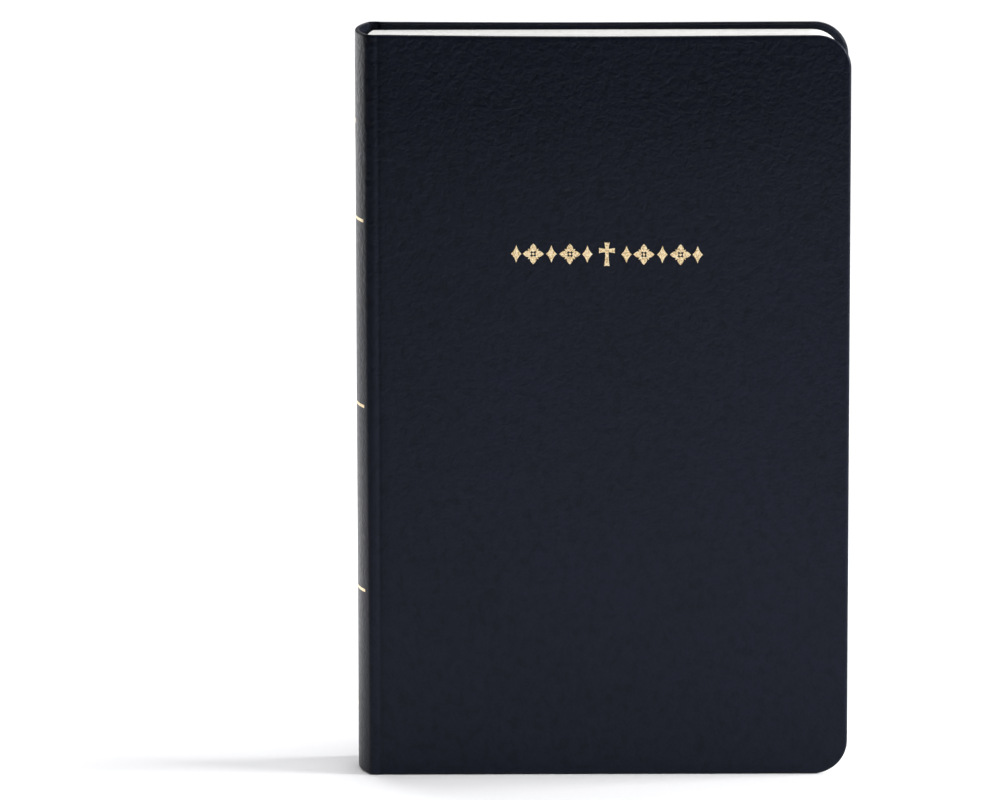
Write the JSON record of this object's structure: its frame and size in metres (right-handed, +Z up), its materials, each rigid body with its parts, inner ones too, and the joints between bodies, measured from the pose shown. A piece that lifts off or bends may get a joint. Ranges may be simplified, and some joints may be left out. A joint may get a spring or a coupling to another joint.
{
  "type": "bible",
  "caption": "Limp-bound devotional book standing on its tail, with a rounded spine, gilt ornaments, round fore-edge corners and covers and gatherings that open.",
  "frame": {"origin": "bottom centre of the closed book's box, on the surface that it stands on", "axes": "+Z up the spine from tail to head, -Y out of the front cover, -X out of the spine, +X towards the fore-edge"},
  "size_m": [0.1364, 0.022, 0.2096],
  "materials": {
    "leather": "fine-grained imitation leather, semi-matt",
    "board": "thin grey-brown binder's board",
    "paper": "thin uncoated white printing paper",
    "endpaper": "heavier uncoated off-white paper",
    "kraft": "brown kraft paper",
    "cloth": "open-weave starched cotton",
    "glue": "dried binding adhesive",
    "gold": "satin gold foil"
  },
  "bodies": {
    "spine": {"spine_skin": "leather", "spine_inlay": "board", "spine_glue": "glue", "mull": "cloth", "kraft_liner": "kraft", "gilt_line_top": "gold", "gilt_line_middle": "gold", "gilt_line_bottom": "gold", "gilt_spine_cross": "gold", "gilt_spine_lozenge": "gold"},
    "front_cover": {"front_cover_skin": "leather", "front_cover_board": "board", "front_mull_flange": "cloth", "front_pastedown": "endpaper", "gilt_title_cross": "gold", "gilt_floret_1": "gold", "gilt_floret_2": "gold", "gilt_floret_3": "gold", "gilt_floret_4": "gold", "gilt_lozenge_1": "gold", "gilt_lozenge_2": "gold", "gilt_lozenge_3": "gold", "gilt_lozenge_4": "gold", "gilt_lozenge_5": "gold", "gilt_lozenge_6": "gold"},
    "rear_cover": {"rear_cover_skin": "leather", "rear_cover_board": "board", "rear_mull_flange": "cloth", "rear_pastedown": "endpaper"},
    "front_flyleaf": {"front_flyleaf": "endpaper"},
    "rear_flyleaf": {"rear_flyleaf": "endpaper"},
    "first_leaf": {"first_leaf": "paper"},
    "last_leaf": {"last_leaf": "paper"},
    "signature_01": {"signature_01": "paper"},
    "signature_02": {"signature_02": "paper"},
    "signature_03": {"signature_03": "paper"},
    "signature_04": {"signature_04": "paper"},
    "signature_05": {"signature_05": "paper"},
    "signature_06": {"signature_06": "paper"},
    "signature_07": {"signature_07": "paper"},
    "signature_08": {"signature_08": "paper"},
    "signature_09": {"signature_09": "paper"},
    "signature_10": {"signature_10": "paper"},
    "signature_11": {"signature_11": "paper"},
    "signature_12": {"signature_12": "paper"},
    "signature_13": {"signature_13": "paper"},
    "signature_14": {"signature_14": "paper"},
    "signature_15": {"signature_15": "paper"},
    "signature_16": {"signature_16": "paper"}
  },
  "joints": [
    {"name": "front_cover_hinge", "type": "hinge", "parent": "spine", "child": "front_cover", "pos_m": [-0.06415, -0.01105, 0], "axis": [0, 0, -1], "range_deg": [0, 178]},
    {"name": "front_flyleaf_turn", "type": "hinge", "parent": "spine", "child": "front_flyleaf", "pos_m": [-0.06415, -0.01105, 0], "axis": [0, 0, -1], "range_deg": [0, 167.2]},
    {"name": "first_leaf_turn", "type": "hinge", "parent": "spine", "child": "first_leaf", "pos_m": [-0.0639, -0.01005, 0], "axis": [0, 0, -1], "range_deg": [0, 128.7]},
    {"name": "signature_01_turn", "type": "hinge", "parent": "spine", "child": "signature_01", "pos_m": [-0.0639, -0.00883, 0], "axis": [0, 0, -1], "range_deg": [0, 77.23]},
    {"name": "signature_02_turn", "type": "hinge", "parent": "spine", "child": "signature_02", "pos_m": [-0.0639, -0.00883, 0], "axis": [0, 0, -1], "range_deg": [0, 69.32]},
    {"name": "signature_03_turn", "type": "hinge", "parent": "spine", "child": "signature_03", "pos_m": [-0.0639, -0.00883, 0], "axis": [0, 0, -1], "range_deg": [0, 60.42]},
    {"name": "signature_04_turn", "type": "hinge", "parent": "spine", "child": "signature_04", "pos_m": [-0.0639, -0.00883, 0], "axis": [0, 0, -1], "range_deg": [0, 51.52]},
    {"name": "signature_05_turn", "type": "hinge", "parent": "spine", "child": "signature_05", "pos_m": [-0.0639, -0.00883, 0], "axis": [0, 0, -1], "range_deg": [0, 41.63]},
    {"name": "signature_06_turn", "type": "hinge", "parent": "spine", "child": "signature_06", "pos_m": [-0.0639, -0.00883, 0], "axis": [0, 0, -1], "range_deg": [0, 31.74]},
    {"name": "signature_07_turn", "type": "hinge", "parent": "spine", "child": "signature_07", "pos_m": [-0.0639, -0.00883, 0], "axis": [0, 0, -1], "range_deg": [0, 20.87]},
    {"name": "signature_08_turn", "type": "hinge", "parent": "spine", "child": "signature_08", "pos_m": [-0.0639, -0.00883, 0], "axis": [0, 0, -1], "range_deg": [0, 10.98]},
    {"name": "rear_cover_hinge", "type": "hinge", "parent": "spine", "child": "rear_cover", "pos_m": [-0.06415, 0.01105, 0], "axis": [0, 0, 1], "range_deg": [0, 178]},
    {"name": "rear_flyleaf_turn", "type": "hinge", "parent": "spine", "child": "rear_flyleaf", "pos_m": [-0.06415, 0.01105, 0], "axis": [0, 0, 1], "range_deg": [0, 167.2]},
    {"name": "last_leaf_turn", "type": "hinge", "parent": "spine", "child": "last_leaf", "pos_m": [-0.0639, 0.01005, 0], "axis": [0, 0, 1], "range_deg": [0, 128.7]},
    {"name": "signature_16_turn", "type": "hinge", "parent": "spine", "child": "signature_16", "pos_m": [-0.0639, 0.00883, 0], "axis": [0, 0, 1], "range_deg": [0, 77.23]},
    {"name": "signature_15_turn", "type": "hinge", "parent": "spine", "child": "signature_15", "pos_m": [-0.0639, 0.00883, 0], "axis": [0, 0, 1], "range_deg": [0, 69.32]},
    {"name": "signature_14_turn", "type": "hinge", "parent": "spine", "child": "signature_14", "pos_m": [-0.0639, 0.00883, 0], "axis": [0, 0, 1], "range_deg": [0, 60.42]},
    {"name": "signature_13_turn", "type": "hinge", "parent": "spine", "child": "signature_13", "pos_m": [-0.0639, 0.00883, 0], "axis": [0, 0, 1], "range_deg": [0, 51.52]},
    {"name": "signature_12_turn", "type": "hinge", "parent": "spine", "child": "signature_12", "pos_m": [-0.0639, 0.00883, 0], "axis": [0, 0, 1], "range_deg": [0, 41.63]},
    {"name": "signature_11_turn", "type": "hinge", "parent": "spine", "child": "signature_11", "pos_m": [-0.0639, 0.00883, 0], "axis": [0, 0, 1], "range_deg": [0, 31.74]},
    {"name": "signature_10_turn", "type": "hinge", "parent": "spine", "child": "signature_10", "pos_m": [-0.0639, 0.00883, 0], "axis": [0, 0, 1], "range_deg": [0, 20.87]},
    {"name": "signature_09_turn", "type": "hinge", "parent": "spine", "child": "signature_09", "pos_m": [-0.0639, 0.00883, 0], "axis": [0, 0, 1], "range_deg": [0, 10.98]}
  ],
  "couplings": [
    {"joint": "front_flyleaf_turn", "follows": "front_cover_hinge", "ratio": 0.93889},
    {"joint": "first_leaf_turn", "follows": "front_cover_hinge", "ratio": 0.72222},
    {"joint": "signature_01_turn", "follows": "front_cover_hinge", "ratio": 0.43333},
    {"joint": "signature_02_turn", "follows": "front_cover_hinge", "ratio": 0.38889},
    {"joint": "signature_03_turn", "follows": "front_cover_hinge", "ratio": 0.33889},
    {"joint": "signature_04_turn", "follows": "front_cover_hinge", "ratio": 0.28889},
    {"joint": "signature_05_turn", "follows": "front_cover_hinge", "ratio": 0.23333},
    {"joint": "signature_06_turn", "follows": "front_cover_hinge", "ratio": 0.17778},
    {"joint": "signature_07_turn", "follows": "front_cover_hinge", "ratio": 0.11667},
    {"joint": "signature_08_turn", "follows": "front_cover_hinge", "ratio": 0.061111},
    {"joint": "rear_flyleaf_turn", "follows": "rear_cover_hinge", "ratio": 0.93889},
    {"joint": "last_leaf_turn", "follows": "rear_cover_hinge", "ratio": 0.72222},
    {"joint": "signature_16_turn", "follows": "rear_cover_hinge", "ratio": 0.43333},
    {"joint": "signature_15_turn", "follows": "rear_cover_hinge", "ratio": 0.38889},
    {"joint": "signature_14_turn", "follows": "rear_cover_hinge", "ratio": 0.33889},
    {"joint": "signature_13_turn", "follows": "rear_cover_hinge", "ratio": 0.28889},
    {"joint": "signature_12_turn", "follows": "rear_cover_hinge", "ratio": 0.23333},
    {"joint": "signature_11_turn", "follows": "rear_cover_hinge", "ratio": 0.17778},
    {"joint": "signature_10_turn", "follows": "rear_cover_hinge", "ratio": 0.11667},
    {"joint": "signature_09_turn", "follows": "rear_cover_hinge", "ratio": 0.061111}
  ]
}
